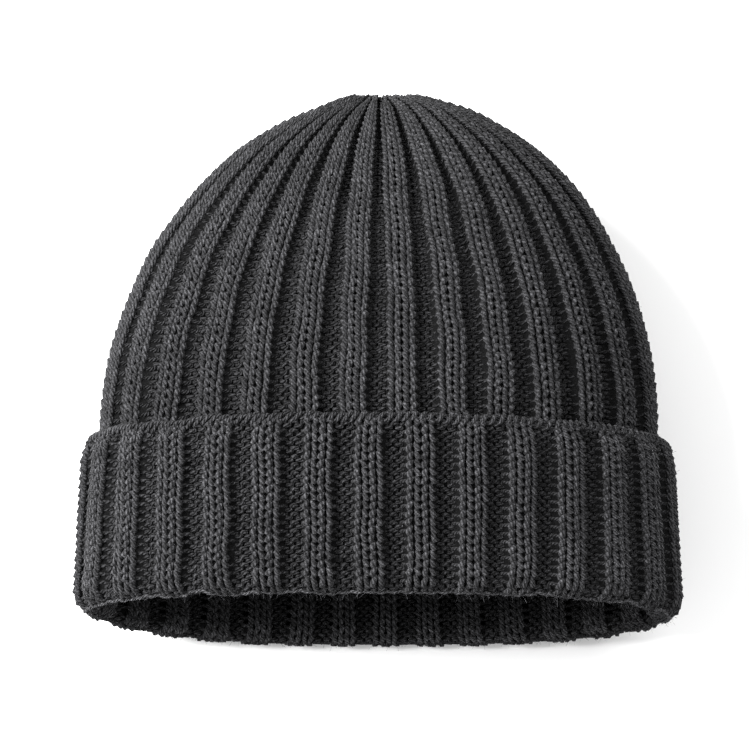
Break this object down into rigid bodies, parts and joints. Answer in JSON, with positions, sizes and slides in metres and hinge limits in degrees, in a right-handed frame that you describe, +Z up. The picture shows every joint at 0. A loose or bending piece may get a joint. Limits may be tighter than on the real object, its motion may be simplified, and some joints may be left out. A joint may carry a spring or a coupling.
{
  "type": "ribbed knit beanie",
  "caption": "Chunky charcoal ribbed knit beanie with a turned-up cuff, lying on its back in its rounded form.",
  "frame": {"origin": "middle of the bounding box's bottom, on the surface that the hat lies on", "axes": "+Z up from the surface, with the front of the hat facing up; +Y from the opening to the gathered top; +X to the hat's right as seen from above"},
  "size_m": [0.224, 0.2066, 0.1074],
  "materials": {
    "yarn": "matte charcoal wool yarn with a light heather"
  },
  "bodies": {
    "root": {"crown": "yarn", "inner_band": "yarn", "cuff": "yarn"}
  },
  "joints": []
}
